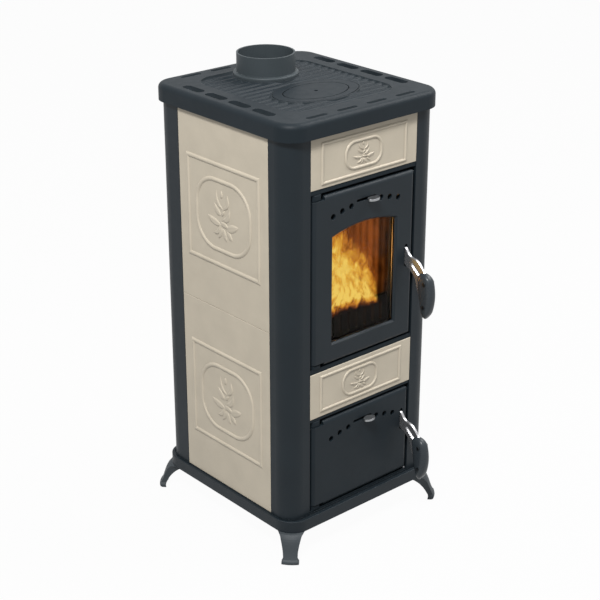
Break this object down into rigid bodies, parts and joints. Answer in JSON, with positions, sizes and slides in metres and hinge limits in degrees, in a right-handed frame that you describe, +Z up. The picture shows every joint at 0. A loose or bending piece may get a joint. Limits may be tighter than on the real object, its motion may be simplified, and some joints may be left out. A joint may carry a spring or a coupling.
{
  "type": "tiled wood stove",
  "caption": "Free-standing cast-iron and tile wood stove with scrolled feet, a glazed fire door, an ash door, lever handles, and a ribbed cooktop with a lift-off oval ring and a flue collar.",
  "frame": {"origin": "on the floor, at the centre of the bounding box seen from above", "axes": "+Z up; front, with the doors and handles, towards -Y; +X to the right of someone facing the doors"},
  "size_m": [0.4428, 0.5148, 0.9665],
  "materials": {
    "iron": "satin anthracite enamel",
    "tile": "glossy cream glaze with worn brown edges",
    "chrome": "polished",
    "steel": "satin",
    "inner_steel": "matt black, heat resistant",
    "panel": "matt",
    "firebrick": "rough",
    "rope": "braided",
    "glass": "clear, smoked by use",
    "grip": "matt"
  },
  "bodies": {
    "stove": {"base_frame": "iron", "foot_front_left": "iron", "foot_front_right": "iron", "foot_back_left": "iron", "foot_back_right": "iron", "post_front_left": "iron", "post_front_right": "iron", "post_back_left": "iron", "post_back_right": "iron", "tile_left_lower": "tile", "tile_left_upper": "tile", "tile_right_lower": "tile", "tile_right_upper": "tile", "tile_front_head": "tile", "tile_front_middle": "tile", "front_casting": "iron", "hinge_pins": "steel", "latch_keepers": "steel", "ash_door_rest": "chrome", "back_panel": "panel", "back_screws": "steel", "firebox_shell": "inner_steel", "hearth_plate": "iron", "grate": "iron", "brick_left": "firebrick", "brick_right": "firebrick", "brick_back": "firebrick", "smoke_baffle": "firebrick", "log_guard": "iron", "ash_drawer": "inner_steel", "top_frame": "iron", "tie_rods": "steel", "cooktop": "iron", "flue_collar": "iron", "cooktop_seal": "rope"},
    "fire_door_body": {"fire_door": "iron", "door_glass": "glass", "glass_gasket": "rope", "glass_frame": "steel", "glass_screws": "steel", "fire_door_seal": "rope", "fire_slide_screws": "steel", "fire_handle_pivot": "steel"},
    "fire_air_body": {"fire_air_slide": "steel", "fire_air_tab": "chrome"},
    "fire_handle_body": {"fire_handle_lever": "chrome", "fire_handle_grip": "grip", "fire_handle_screws": "steel"},
    "ash_door_body": {"ash_door": "iron", "ash_door_seal": "rope", "ash_slide_screws": "steel", "ash_handle_pivot": "steel"},
    "ash_air_body": {"ash_air_slide": "steel", "ash_air_tab": "chrome"},
    "ash_handle_body": {"ash_handle_lever": "chrome", "ash_handle_grip": "grip", "ash_handle_screws": "steel"},
    "ring_body": {"hob_ring": "iron"},
    "lid_body": {"hob_lid": "iron"}
  },
  "joints": [
    {"name": "fire_door_hinge", "type": "hinge", "parent": "stove", "child": "fire_door_body", "pos_m": [-0.1262, -0.16894, 0.59035], "axis": [0, 0, -1], "range_deg": [0, 105]},
    {"name": "fire_air_slide_travel", "type": "slide", "parent": "fire_door_body", "child": "fire_air_body", "axis": [1, 0, 0], "range_m": [-0.02, 0]},
    {"name": "fire_handle_lift", "type": "hinge", "parent": "fire_door_body", "child": "fire_handle_body", "pos_m": [0.116, -0.16544, 0.5887], "axis": [-1, 0, 0], "range_deg": [0, 25]},
    {"name": "ash_door_hinge", "type": "hinge", "parent": "stove", "child": "ash_door_body", "pos_m": [-0.1262, -0.16894, 0.19165], "axis": [0, 0, -1], "range_deg": [0, 105]},
    {"name": "ash_air_slide_travel", "type": "slide", "parent": "ash_door_body", "child": "ash_air_body", "axis": [1, 0, 0], "range_m": [-0.02, 0]},
    {"name": "ash_handle_lift", "type": "hinge", "parent": "ash_door_body", "child": "ash_handle_body", "pos_m": [0.116, -0.16544, 0.2173], "axis": [-1, 0, 0], "range_deg": [0, 25]},
    {"name": "hob_ring_lift", "type": "slide", "parent": "stove", "child": "ring_body", "axis": [0, 0, 1], "range_m": [0, 0.06]},
    {"name": "hob_lid_lift", "type": "slide", "parent": "ring_body", "child": "lid_body", "axis": [0, 0, 1], "range_m": [0, 0.05]}
  ]
}
